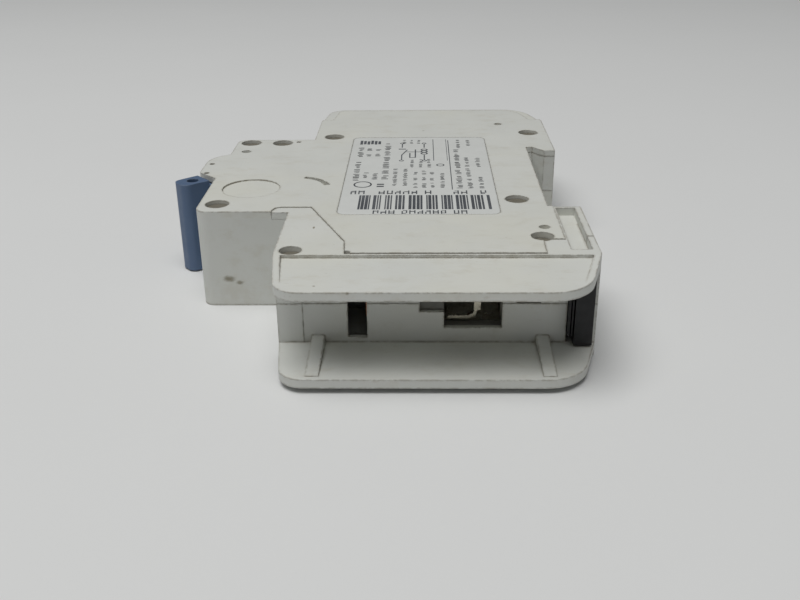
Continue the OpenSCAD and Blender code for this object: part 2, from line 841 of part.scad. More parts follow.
module solenoid_core() {
    color(steel_colour) difference() {
        rod_along_y(coil_x, 8.05, 13.6, mid_z, 3);
        rod_along_y(coil_x, 7, 15, mid_z, 1.1);
    }
}

module solenoid_yoke() {
    color(steel_colour) difference() {
        union() {
            block(-34.4, -20.4, 7, 8, 4.6, 12.5);
            block(-34.4, -20.4, 21.9, 22.8, 4.6, 12.5);
            block(-21.3, -20.4, 7, 22.8, 4.6, 12.5);
        }
        rod_along_y(coil_x, 6, 9, mid_z, 1.3);
        rod_along_y(coil_x, 21, 24, mid_z, 3.1);
    }
}

module solenoid_plunger() {
    color(steel_colour) difference() {
        rod_along_y(coil_x, 16.4, 21.6, mid_z, plunger_r);
        rod_along_y(coil_x, 16, 17.5, mid_z, 0.97);
    }
}

module plunger_pin() {
    color([0.85, 0.83, 0.76]) rod_along_y(coil_x, pin_tip_y, 17.4, mid_z, 0.95);
}

module plunger_spring() {
    color(steel_colour) translate([coil_x, 13.95, mid_z]) rotate([-90, 0, 0])
        coil(1.9, 2.1, 3, 0.25);
}

// ---------------------------------------------------------------- terminals

// Draws its children at the load end, or mirrored at the line end
module at_end(line_end) {
    mirror([0, line_end ? 1 : 0, 0]) children();
}

module clamp_cage() {
    color(steel_colour) difference() {
        block(-27, -7.5, -screw_y - cage_half, -screw_y + cage_half, 3.4, 14.1);
        block(-24, -9, -screw_y - 5, -screw_y + 5, 4.6, 12.9);
        rod_along_x(-28, -23, -screw_y, mid_z, screw_r);
    }
}

module clamp_screw() {
    color(steel_colour) difference() {
        union() {
            rod_along_x(-41.6, -38.6, -screw_y, mid_z, screw_head_r);
            rod_along_x(-38.7, -21, -screw_y, mid_z, screw_r - 0.05);
        }
        block(-42, -40.3, -screw_y - 4, -screw_y + 4, mid_z - 0.4, mid_z + 0.4);
        block(-42, -40.3, -screw_y - 1.6, -screw_y + 1.6, mid_z - 1.6, mid_z + 1.6);
    }
}

// Bent strip in the cable window that keeps the wire in front of the cage
module wire_guide() {
    color([0.8, 0.8, 0.78]) translate([0, -36.7, 0]) rotate([90, 0, 0]) linear_extrude(0.9) {
        strip([[-17.4, 5.8], [-14.2, 5.8], [-13.2, 6.3], [-12.8, 7.4]], 0.5);
        strip([[-12.75, 7], [-12.65, 13.6]], 1.1);
    }
}

module load_terminal_strip() {
    copper_strip([[-36, -22.3], [-19, -22.3], [-19, -37.3], [-30.2, -37.3]], 1.1);
}

module line_terminal_strip() {
    copper_strip([[-19, 23.8], [-19, 37.3], [-30.2, 37.3]], 1.1);
}

module load_clamp_cage() { at_end(false) clamp_cage(); }
module load_clamp_screw() { at_end(false) clamp_screw(); }
module load_wire_guide() { at_end(false) wire_guide(); }
module line_clamp_cage() { at_end(true) clamp_cage(); }
module line_clamp_screw() { at_end(true) clamp_screw(); }
module line_wire_guide() { at_end(true) wire_guide(); }

// ---------------------------------------------------------------- rail clip

module rail_clip() {
    color([0.1, 0.1, 0.11]) difference() {
        union() {
            translate([0, 0, 2.7]) linear_extrude(12.1)
                polygon([[2, -41.2], [4.85, -41.2], [4.85, -18], [4, -16.2], [1.2, -16.2],
                    [1.2, -22], [2, -22]]);
            // thin spring legs beside the block
            for (x = [1.1, 1.55]) block(x, x + 0.25, -41, -23, 4.1, 14.8);
            block(1.1, 2.1, -23.4, -21.9, 4.1, 14.8);
        }
        // pocket for the clip's spring, open at the bottom
        block(1.7, 4.3, -34.2, -24.2, 2, 12);
    }
}

module rail_clip_spring() {
    color(steel_colour) translate([3.1, -32.7, 7]) rotate([-90, 0, 0]) coil(0.85, 8, 9, 0.2, 12, 6);
}

// ---------------------------------------------------------------- label

module rating_label() {
    color([0.78, 0.79, 0.79]) translate([0, 0, body_w - label_sink + eps])
        linear_extrude(label_t) label_plan();
}

base_shell();
side_cover();
load_end_cover();
line_end_cover();
rivets();
toggle_handle();
handle_pin();
handle_spring();
drive_link();
contact_carrier();
carrier_pin();
contact_arm();
moving_contact_tip();
contact_spring();
fixed_contact_horn();
fixed_contact_tip();
lower_arc_runner();
arc_plates();
arc_chute_cheeks();
trip_lever();
trip_lever_pin();
bimetal_strip();
calibration_screw();
flexible_braid();
solenoid_bobbin();
solenoid_coil();
solenoid_core();
solenoid_yoke();
solenoid_plunger();
plunger_pin();
plunger_spring();
load_terminal_strip();
load_clamp_cage();
load_clamp_screw();
load_wire_guide();
line_terminal_strip();
line_clamp_cage();
line_clamp_screw();
line_wire_guide();
rail_clip();
rail_clip_spring();
rating_label();
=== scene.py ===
import json
import math
import random

import bpy
from mathutils import Matrix, Vector


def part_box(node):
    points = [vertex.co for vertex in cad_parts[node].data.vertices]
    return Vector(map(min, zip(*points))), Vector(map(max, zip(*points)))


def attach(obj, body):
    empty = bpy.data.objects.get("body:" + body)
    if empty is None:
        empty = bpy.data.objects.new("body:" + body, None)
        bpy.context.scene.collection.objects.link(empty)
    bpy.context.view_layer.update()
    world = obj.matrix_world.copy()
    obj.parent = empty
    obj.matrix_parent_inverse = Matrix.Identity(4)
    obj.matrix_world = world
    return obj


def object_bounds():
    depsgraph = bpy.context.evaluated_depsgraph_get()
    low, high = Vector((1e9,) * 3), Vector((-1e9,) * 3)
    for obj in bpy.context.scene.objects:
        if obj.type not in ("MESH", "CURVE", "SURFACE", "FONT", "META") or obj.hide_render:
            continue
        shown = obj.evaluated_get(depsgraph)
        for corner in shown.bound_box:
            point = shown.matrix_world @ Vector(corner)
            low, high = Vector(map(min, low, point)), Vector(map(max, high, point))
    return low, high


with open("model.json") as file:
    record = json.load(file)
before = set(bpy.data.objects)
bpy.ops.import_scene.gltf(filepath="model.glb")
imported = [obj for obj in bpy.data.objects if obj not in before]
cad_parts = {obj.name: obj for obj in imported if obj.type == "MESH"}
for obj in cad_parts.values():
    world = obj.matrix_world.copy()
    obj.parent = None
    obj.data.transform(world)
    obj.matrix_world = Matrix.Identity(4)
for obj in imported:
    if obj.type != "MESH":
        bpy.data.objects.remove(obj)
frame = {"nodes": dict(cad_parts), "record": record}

MM = 0.001
CAD_BOUNDS = [list(corner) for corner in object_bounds()]


# ---------------------------------------------------------------- node materials

def linear(red, green, blue):
    """Shader colour of an sRGB colour that is given as 0 to 255."""
    channels = []
    for value in (red, green, blue):
        value /= 255
        channels.append(value / 12.92 if value <= 0.04045 else ((value + 0.055) / 1.055) ** 2.4)
    return (*channels, 1.0)


class Surface:
    """A node material in the making. Sockets and plain values go in, sockets come out."""

    def __init__(self, name, roughness=0.5, metallic=0.0, specular=0.5):
        self.material = bpy.data.materials.new(name)
        self.material.use_nodes = True
        self.tree = self.material.node_tree
        self.shader = self.tree.nodes["Principled BSDF"]
        self.place = self.node("ShaderNodeTexCoord").outputs["Object"]
        self.shader.inputs["Roughness"].default_value = roughness
        self.shader.inputs["Metallic"].default_value = metallic
        self.shader.inputs["Specular IOR Level"].default_value = specular

    def feed(self, socket, value):
        if isinstance(value, bpy.types.NodeSocket):
            self.tree.links.new(value, socket)
        else:
            socket.default_value = value

    def node(self, kind, inputs=None, **settings):
        made = self.tree.nodes.new(kind)
        for key, value in settings.items():
            setattr(made, key, value)
        for key, value in (inputs or {}).items():
            self.feed(made.inputs[key], value)
        return made

    def math(self, operation, a, b=0.0):
        made = self.node("ShaderNodeMath", {0: a, 1: b}, operation=operation)
        return made.outputs[0]

    def mix(self, factor, a, b):
        """Colour a where factor is 0, colour b where it is 1."""
        made = self.node("ShaderNodeMix", {0: factor, 6: a, 7: b}, data_type="RGBA")
        return made.outputs[2]

    def band(self, value, low, high, to_low=0.0, to_high=1.0):
        """Smooth step of value between low and high."""
        made = self.node(
            "ShaderNodeMapRange",
            {0: value, 1: low, 2: high, 3: to_low, 4: to_high},
            interpolation_type="SMOOTHSTEP",
        )
        return made.outputs[0]

    def stretched(self, stretch, turn=0.0):
        """Object coordinates in which features come out longer by these factors."""
        made = self.node("ShaderNodeMapping", {"Vector": self.place})
        made.inputs["Rotation"].default_value = (0, 0, math.radians(turn))
        made.inputs["Scale"].default_value = [1 / factor for factor in stretch]
        return made.outputs[0]

    def noise(self, size, detail=3.0, rough=0.5, place=None, seed=0.0):
        """Noise with features of about size millimetres, 0 to 1."""
        made = self.node(
            "ShaderNodeTexNoise",
            {
                "Vector": place or self.place,
                "Scale": 1 / (size * MM),
                "Detail": detail,
                "Roughness": rough,
                "W": seed,
            },
            noise_dimensions="4D",
        )
        return made.outputs[0]

    def edges(self, radius):
        """0 on flat ground, rising to about 0.3 at edges, and the rounded normal."""
        bevel = self.node("ShaderNodeBevel", {"Radius": radius * MM}, samples=4)
        flat = self.node("ShaderNodeNewGeometry").outputs["Normal"]
        sides = {0: bevel.outputs[0], 1: flat}
        dot = self.node("ShaderNodeVectorMath", sides, operation="DOT_PRODUCT")
        return self.math("SUBTRACT", 1.0, dot.outputs["Value"]), bevel.outputs[0]

    def crevice(self, distance):
        """Near 1 deep in corners and seams, where shade falls, 0 in the open: the mask for painted
        shade.
        """
        open_sky = self.node("ShaderNodeAmbientOcclusion", {"Distance": distance * MM}, samples=4)
        return self.math("SUBTRACT", 1.0, open_sky.outputs["AO"])

    def spot(self, centre, radius, soft, stretch, seed):
        """Ragged mask about a point, in millimetres: a ball, drawn out by stretch."""
        offset = self.node(
            "ShaderNodeVectorMath",
            {0: self.stretched(stretch), 1: [at * MM / by for at, by in zip(centre, stretch)]},
            operation="DISTANCE",
        )
        noise = self.math("SUBTRACT", self.noise(radius * 0.7, 3, 0.6, seed=seed), 0.5)
        wobble = self.math("MULTIPLY", noise, radius * RAGGED * MM)
        reach = self.math("ADD", offset.outputs["Value"], wobble)
        return self.band(reach, radius * MM, (radius - soft) * MM)

    def flush_seam(self):
        """1 along the parting line on the nose's near face and corner, 0 elsewhere."""
        at = self.node("ShaderNodeSeparateXYZ", {0: self.place}).outputs
        off_plane = self.math("ABSOLUTE", self.math("SUBTRACT", at[2], PARTING_Z * MM))
        off_face = self.math("ABSOLUTE", self.math("SUBTRACT", at[1], NOSE_FACE_Y * MM))
        beside = self.band(off_plane, 0.7 * MM, 0.4 * MM)
        return self.math("MULTIPLY", beside, self.band(off_face, 2.3 * MM, 2.0 * MM))

    def in_chambers(self):
        """1 inside the two terminal chambers, 0 elsewhere."""
        at = self.node("ShaderNodeSeparateXYZ", {0: self.place}).outputs
        middle, half = CHAMBER
        inside = None
        for axis in range(3):
            # both chambers fold onto one, mirrored in Y
            value = self.math("ABSOLUTE", at[axis]) if axis == 1 else at[axis]
            off = self.math("ABSOLUTE", self.math("SUBTRACT", value, middle[axis] * MM))
            within = self.band(off, half[axis] * MM, (half[axis] - CHAMBER_FADE) * MM)
            inside = within if inside is None else self.math("MULTIPLY", inside, within)
        return inside

    def unrounded(self, factor, rounded):
        """The rounded normal where factor is 0, the true one where it is 1."""
        flat = self.node("ShaderNodeNewGeometry").outputs["Normal"]
        made = self.node("ShaderNodeMix", {0: factor, 4: rounded, 5: flat}, data_type="VECTOR")
        return made.outputs[1]

    def rough(self, value):
        self.feed(self.shader.inputs["Roughness"], value)

    def bump(self, height, depth, normal=None):
        """Bump from a 0 to 1 height that stands for depth millimetres."""
        inputs = {"Strength": 1.0, "Distance": depth * MM, "Height": height}
        made = self.node("ShaderNodeBump", inputs)
        if normal is not None:
            self.feed(made.inputs["Normal"], normal)
        return made.outputs[0]

    def finish(self, colour, normal):
        self.feed(self.shader.inputs["Base Color"], colour)
        self.feed(self.shader.inputs["Normal"], normal)
        return self.material


# How far a stain's rim strays, as a share of its radius
RAGGED = 0.8
# Handling marks on the housing: place in millimetres, radius, softness, stretch, strength
BALL = (1, 1, 1)
SHELL_STAINS = {
    "base_shell": [
        ((-55.0, -21.0, 5.1), 1.0, 0.8, (1.5, 1, 0.8), 0.8),
        ((-53.2, -21.0, 4.4), 0.7, 0.5, (1.3, 1, 0.7), 0.7),
    ],
    "side_cover": [
        ((-12.5, 15.0, 17.5), 0.5, 0.3, BALL, 0.35),
        ((-21.0, 31.0, 17.5), 0.4, 0.3, BALL, 0.5),
    ],
    "load_end_cover": [
        ((-38.9, -28.3, 17.35), 0.3, 0.2, (0.8, 2.2, 1), 0.9),
        ((-36.8, -49.4, 16.4), 0.3, 0.2, BALL, 0.6),
        ((-31.9, -51.4, 16.2), 0.35, 0.25, BALL, 0.7),
    ],
    "line_end_cover": [((-30.0, 49.0, 17.0), 0.6, 0.4, BALL, 0.4)],
}
# Parting plane between base shell and side cover, which can't be made out on the
# nose's near face, and the place of that face
PARTING_Z = 16.3
NOSE_FACE_Y = -21.0
# Middle and half size of the line end's terminal chamber, and the soft rim of the painted shade
CHAMBER = ((-21.5, 32.0, 8.9), (20.9, 6.9, 7.3))
CHAMBER_FADE = 0.3


def shell_plastic(name, seed):
    """Pale grey moulded plastic: grain, slight yellowing, dirt and painted shade in seams, chipped
    edges.
    """
    skin = Surface(name, specular=0.35)
    edge, rounded = skin.edges(0.22)
    flush = skin.flush_seam()
    edge = skin.math("MULTIPLY", edge, skin.math("SUBTRACT", 1.0, flush))
    rounded = skin.unrounded(flush, rounded)
    pale = linear(213, 214, 209)
    colour = skin.mix(skin.noise(16, 2, seed=seed), pale, linear(204, 206, 202))
    yellowed = skin.band(skin.noise(28, 3, 0.6, seed=seed + 1), 0.45, 0.75, 0.0, 0.5)
    colour = skin.mix(yellowed, colour, linear(211, 210, 197))
    # rubbed clouds along the housing, and short scratches
    clouds = skin.noise(3.2, 6, 0.75, place=skin.stretched((2, 1, 1.5), 8), seed=seed + 2)
    colour = skin.mix(skin.band(clouds, 0.5, 0.7, 0.0, 0.42), colour, linear(194, 191, 179))
    scratches = skin.noise(0.35, 2, 0.5, place=skin.stretched((9, 1, 4), -24), seed=seed + 30)
    colour = skin.mix(skin.band(scratches, 0.68, 0.78, 0.0, 0.3), colour, linear(172, 167, 152))
    # dust and dark specks of two sizes
    dust = skin.band(skin.noise(0.5, 2, 0.6, seed=seed + 3), 0.68, 0.78, 0.0, 0.5)
    colour = skin.mix(dust, colour, linear(150, 143, 128))
    specks = skin.band(skin.noise(2.4, 5, 0.8, seed=seed + 4), 0.7, 0.75, 0.0, 0.6)
    colour = skin.mix(specks, colour, linear(118, 104, 84))
    # brown grime and painted shade where faces meet, from the occlusion mask
    grime_and_shade = skin.crevice(1.1)
    patchy = skin.band(skin.noise(3.5, 4, 0.6, seed=seed + 5), 0.3, 0.7, 0.35, 1.0)
    grime_and_shade = skin.math("MULTIPLY", skin.band(grime_and_shade, 0.28, 0.75), patchy)
    grime_and_shade = skin.math("MULTIPLY", grime_and_shade, skin.math("SUBTRACT", 1.0, flush))
    colour = skin.mix(skin.math("MULTIPLY", grime_and_shade, 0.7), colour, linear(112, 98, 74))
    # edges: paler where rubbed, brown in the chips
    rubbed = skin.band(edge, 0.02, 0.2, 0.0, 0.35)
    colour = skin.mix(rubbed, colour, linear(222, 221, 212))
    broad = skin.math("MULTIPLY", skin.edges(0.5)[0], skin.math("SUBTRACT", 1.0, flush))
    chips = skin.band(skin.noise(1.3, 5, 0.8, seed=seed + 6), 0.4, 0.58)
    chips = skin.math("MULTIPLY", chips, skin.band(broad, 0.012, 0.09))
    colour = skin.mix(skin.math("MULTIPLY", chips, 0.72), colour, linear(120, 108, 85))
    # painted shade inside the terminal chambers
    colour = skin.mix(skin.math("MULTIPLY", skin.in_chambers(), 0.8), colour, linear(66, 63, 58))
    for i, (centre, radius, soft, stretch, strength) in enumerate(SHELL_STAINS[name]):
        stain = skin.spot(centre, radius, soft, stretch, seed=seed + 7 + i)
        colour = skin.mix(skin.math("MULTIPLY", stain, strength), colour, linear(124, 117, 96))
    skin.rough(skin.band(skin.noise(5, 4, 0.7, seed=seed), 0.3, 0.7, 0.46, 0.62))
    waves = skin.bump(skin.noise(9, 2, seed=seed), 0.06, rounded)
    grain = skin.bump(skin.noise(0.28, 3, 0.6, seed=seed), 0.012, waves)
    normal = skin.bump(skin.math("SUBTRACT", 1.0, chips), 0.05, grain)
    return skin.finish(colour, normal)


def toggle_plastic():
    """Slate blue thermoplastic, satin, rubbed paler along its edges, with painted shade in its
    crevices.
    """
    skin = Surface("toggle_plastic", specular=0.45)
    edge, rounded = skin.edges(0.3)
    colour = skin.mix(skin.noise(6, 3), linear(88, 109, 139), linear(76, 97, 127))
    streaks = skin.noise(0.6, 4, 0.7, place=skin.stretched((1, 1, 12)))
    colour = skin.mix(skin.band(streaks, 0.6, 0.8, 0.0, 0.3), colour, linear(96, 112, 138))
    # painted shade: darker blue in the crevices, from the occlusion mask
    grime_and_shade = skin.band(skin.crevice(0.8), 0.3, 0.8, 0.0, 0.6)
    colour = skin.mix(grime_and_shade, colour, linear(34, 42, 56))
    dust = skin.band(skin.noise(0.4, 2, 0.6), 0.7, 0.8, 0.0, 0.5)
    colour = skin.mix(dust, colour, linear(140, 146, 156))
    patchy = skin.band(skin.noise(1.6, 4), 0.3, 0.65)
    rubbed = skin.math("MULTIPLY", skin.band(edge, 0.02, 0.18), patchy)
    colour = skin.mix(skin.math("MULTIPLY", rubbed, 0.7), colour, linear(142, 156, 178))
    skin.rough(skin.band(skin.noise(2, 4, 0.7), 0.3, 0.7, 0.34, 0.5))
    waves = skin.bump(skin.noise(5, 2), 0.03, rounded)
    return skin.finish(colour, skin.bump(skin.noise(0.3, 3), 0.008, waves))


def clip_plastic():
    """Black glass-filled plastic, dusty, with fine flow lines."""
    skin = Surface("clip_plastic", specular=0.4)
    edge, rounded = skin.edges(0.2)
    colour = skin.mix(skin.noise(4, 3), linear(33, 33, 35), linear(24, 24, 26))
    dust = skin.band(skin.noise(0.35, 3, 0.7), 0.62, 0.8, 0.0, 0.3)
    colour = skin.mix(dust, colour, linear(92, 90, 86))
    colour = skin.mix(skin.band(edge, 0.03, 0.2, 0.0, 0.5), colour, linear(64, 64, 66))
    skin.rough(skin.band(skin.noise(1.2, 4, 0.7), 0.3, 0.7, 0.42, 0.62))
    flow = skin.bump(skin.noise(0.5, 3, place=skin.stretched((1, 8, 1))), 0.02, rounded)
    return skin.finish(colour, skin.bump(skin.noise(0.18, 2), 0.01, flow))


def plain_plastic(name, light, dark):
    """Unfilled moulding for the inside: faint mottling, fine grain."""
    skin = Surface(name, specular=0.4)
    edge, rounded = skin.edges(0.15)
    colour = skin.mix(skin.noise(3, 4, 0.6), light, dark)
    soot = skin.band(skin.noise(1.3, 4, 0.7), 0.6, 0.8, 0.0, 0.3)
    colour = skin.mix(soot, colour, linear(70, 64, 56))
    colour = skin.mix(skin.band(edge, 0.02, 0.2, 0.0, 0.3), colour, light)
    skin.rough(skin.band(skin.noise(1.5, 3), 0.3, 0.7, 0.4, 0.58))
    return skin.finish(colour, skin.bump(skin.noise(0.3, 3), 0.01, rounded))


def metal(name, bright, dull, roughness, grain=(8, 1, 1), tarnish=None, tarnish_size=2.5):
    """Worked metal: grain drawn out along one axis, tarnish patches, polished edges, painted shade
    in crevices.
    """
    skin = Surface(name, metallic=1.0)
    edge, rounded = skin.edges(0.12)
    lines = skin.noise(0.16, 4, 0.7, place=skin.stretched(grain))
    colour = skin.mix(lines, bright, dull)
    if tarnish is not None:
        patches = skin.band(skin.noise(tarnish_size, 5, 0.7), 0.48, 0.72, 0.0, 0.75)
        colour = skin.mix(patches, colour, tarnish)
    # painted shade: dark brown in crevices, from the occlusion mask
    crevice_shade = skin.band(skin.crevice(0.6), 0.35, 0.85, 0.0, 0.5)
    colour = skin.mix(crevice_shade, colour, linear(58, 50, 42))
    colour = skin.mix(skin.band(edge, 0.03, 0.2, 0.0, 0.5), colour, bright)
    spread = skin.band(skin.noise(1.8, 4, 0.7), 0.3, 0.7, roughness * 0.75, roughness * 1.25)
    skin.rough(spread)
    brushed = skin.bump(lines, 0.012, rounded)
    return skin.finish(colour, skin.bump(skin.noise(0.8, 3), 0.015, brushed))


def rivet_steel():
    """Rivet heads at the bottom of their pockets: dull, grey-brown with old grease."""
    skin = Surface("rivet_steel", metallic=0.55)
    edge, rounded = skin.edges(0.2)
    colour = skin.mix(skin.noise(1.2, 4, 0.7), linear(150, 146, 134), linear(116, 110, 98))
    rust = skin.band(skin.noise(0.8, 5, 0.7, seed=3), 0.55, 0.75, 0.0, 0.6)
    colour = skin.mix(rust, colour, linear(96, 82, 62))
    colour = skin.mix(skin.band(edge, 0.03, 0.2, 0.0, 0.4), colour, linear(178, 175, 166))
    skin.rough(skin.band(skin.noise(0.6, 4), 0.3, 0.7, 0.45, 0.7))
    return skin.finish(colour, skin.bump(skin.noise(0.25, 4, 0.7), 0.03, rounded))


def enamelled_wire():
    """Copper magnet wire under clear brown enamel, one hue shift from turn to turn."""
    skin = Surface("enamelled_wire", metallic=0.85)
    turns = skin.noise(0.7, 2, place=skin.stretched((6, 1, 6)))
    colour = skin.mix(turns, linear(168, 92, 48), linear(120, 58, 30))
    # painted shade between the turns, from the occlusion mask
    colour = skin.mix(skin.band(skin.crevice(0.5), 0.3, 0.8, 0.0, 0.7), colour, linear(52, 26, 16))
    skin.shader.inputs["Coat Weight"].default_value = 0.6
    skin.shader.inputs["Coat Roughness"].default_value = 0.12
    skin.rough(skin.band(skin.noise(0.9, 3), 0.3, 0.7, 0.25, 0.42))
    return skin.finish(colour, skin.bump(skin.noise(0.3, 3), 0.01))


def braided_copper():
    """Flexible lead: fine copper strands, woven in two crossing directions."""
    skin = Surface("braided_copper", metallic=1.0)
    height = None
    for turn in (38, -38):
        wave = skin.node(
            "ShaderNodeTexWave",
            {"Vector": skin.stretched((1, 1, 1), turn), "Scale": 0.9 / MM, "Distortion": 0.6},
        ).outputs["Fac"]
        height = wave if height is None else skin.math("MAXIMUM", height, wave)
    # colour follows the weave's height: painted shade in the valleys between strands
    colour = skin.mix(height, linear(82, 42, 26), linear(188, 116, 78))
    colour = skin.mix(skin.band(skin.noise(2, 4), 0.5, 0.75, 0.0, 0.5), colour, linear(110, 74, 56))
    skin.rough(skin.band(skin.noise(0.8, 3), 0.3, 0.7, 0.35, 0.55))
    return skin.finish(colour, skin.bump(height, 0.12))


def bimetal():
    """Rolled strip with two alloys: one face yellowish, one face grey, heat-tinted."""
    skin = Surface("bimetal", metallic=1.0)
    normal = skin.node("ShaderNodeNewGeometry").outputs["Normal"]
    across = skin.node("ShaderNodeSeparateXYZ", {0: normal}).outputs[0]
    colour = skin.mix(skin.band(across, -0.2, 0.2), linear(176, 160, 128), linear(150, 150, 150))
    heat = skin.band(skin.noise(5, 3), 0.45, 0.75, 0.0, 0.5)
    colour = skin.mix(heat, colour, linear(128, 98, 96))
    lines = skin.noise(0.12, 3, 0.7, place=skin.stretched((1, 14, 1)))
    colour = skin.mix(skin.band(lines, 0.5, 0.9, 0.0, 0.3), colour, linear(96, 90, 82))
    skin.rough(skin.band(lines, 0.3, 0.7, 0.3, 0.48))
    return skin.finish(colour, skin.bump(lines, 0.01))


def fibre_board():
    """Pressed red-brown board that lines the arc chute: fibres and soot."""
    skin = Surface("fibre_board", specular=0.2)
    fibres = skin.noise(0.22, 5, 0.75, place=skin.stretched((9, 2, 1), 20))
    crossing = skin.noise(0.3, 5, 0.75, place=skin.stretched((2, 9, 1), -15), seed=4)
    colour = skin.mix(fibres, linear(142, 84, 58), linear(104, 58, 40))
    colour = skin.mix(skin.band(crossing, 0.55, 0.8, 0.0, 0.5), colour, linear(168, 116, 84))
    colour = skin.mix(skin.band(skin.noise(4, 4), 0.5, 0.75, 0.0, 0.6), colour, linear(48, 36, 30))
    skin.rough(skin.band(fibres, 0.3, 0.7, 0.75, 0.9))
    height = skin.math("ADD", fibres, crossing)
    return skin.finish(colour, skin.bump(height, 0.05))


def label_film():
    """White-grey printed film: slight gloss, rubbed patches, dirty rim."""
    skin = Surface("label_film", specular=0.5)
    colour = skin.mix(skin.noise(11, 3), linear(217, 219, 217), linear(211, 213, 210))
    streaks = skin.noise(1.5, 5, 0.75, place=skin.stretched((4, 1, 1), 12))
    rubbed = skin.band(streaks, 0.6, 0.78, 0.0, 0.3)
    colour = skin.mix(rubbed, colour, linear(186, 188, 188))
    edge, rounded = skin.edges(0.3)
    patchy = skin.band(skin.noise(2, 4), 0.25, 0.6)
    dirty = skin.math("MULTIPLY", skin.band(edge, 0.01, 0.15), patchy)
    colour = skin.mix(skin.math("MULTIPLY", dirty, 0.35), colour, linear(160, 156, 146))
    dots = skin.band(skin.noise(0.5, 2, seed=2), 0.72, 0.8, 0.0, 0.4)
    colour = skin.mix(dots, colour, linear(150, 150, 148))
    skin.rough(skin.band(skin.noise(3, 4, 0.7), 0.3, 0.7, 0.28, 0.42))
    ripples = skin.bump(skin.noise(3.5, 3), 0.02, rounded)
    return skin.finish(colour, skin.bump(skin.noise(0.2, 2), 0.004, ripples))


def ink():
    """Printed ink: charcoal, slightly worn through."""
    skin = Surface("ink", specular=0.3)
    worn = skin.band(skin.noise(0.6, 4, 0.7), 0.5, 0.8, 0.0, 0.5)
    colour = skin.mix(worn, linear(72, 75, 80), linear(122, 125, 129))
    faded = skin.band(skin.noise(9, 2, seed=5), 0.4, 0.75, 0.0, 0.45)
    colour = skin.mix(faded, colour, linear(122, 125, 129))
    skin.rough(skin.band(skin.noise(0.8, 3), 0.3, 0.7, 0.5, 0.7))
    return skin.finish(colour, skin.bump(skin.noise(0.15, 2), 0.002))


def paint_nodes():
    """Gives every CAD node the material of its slot, or its own where it differs."""
    by_slot = {
        "toggle_plastic": toggle_plastic(),
        "clip_plastic": clip_plastic(),
        "pale_plastic": plain_plastic("pale_plastic", linear(214, 208, 188), linear(200, 192, 170)),
        "dark_plastic": plain_plastic("dark_plastic", linear(58, 58, 62), linear(40, 40, 44)),
        "rivet_steel": rivet_steel(),
        "steel": metal("steel", linear(176, 178, 180), linear(140, 142, 144), 0.32),
        "spring_steel": metal("spring_steel", linear(158, 160, 164), linear(104, 106, 110), 0.3,
                              tarnish=linear(92, 78, 62)),
        "zinc_steel": metal("zinc_steel", linear(214, 212, 198), linear(182, 180, 168), 0.34,
                            grain=(1, 6, 1), tarnish=linear(150, 142, 118)),
        "copper": metal("copper", linear(198, 130, 92), linear(156, 92, 62), 0.38,
                        grain=(1, 8, 1), tarnish=linear(104, 62, 44)),
        "silver_alloy": metal("silver_alloy", linear(206, 204, 196), linear(166, 164, 156), 0.42,
                              grain=(1, 1, 1), tarnish=linear(86, 82, 76), tarnish_size=0.7),
        "bimetal": bimetal(),
        "fibre_board": fibre_board(),
        "label_film": label_film(),
    }
    guide_steel = metal("guide_steel", linear(222, 216, 200), linear(180, 174, 158), 0.26,
                        tarnish=linear(70, 64, 56), tarnish_size=1.1)
    own = {
        "solenoid_coil": enamelled_wire(), "flexible_braid": braided_copper(),
        "load_wire_guide": guide_steel, "line_wire_guide": guide_steel,
    }
    seed = 0
    for part in frame["record"]["subparts"]:
        name, slot = part["node"], part["material_slot"]
        if slot == "shell_plastic":
            seed += 20
            finish = shell_plastic(name, seed)
        else:
            finish = own.get(name, by_slot.get(slot))
        data = frame["nodes"][name].data
        data.materials.clear()
        data.materials.append(finish)


# ---------------------------------------------------------------- the label's print

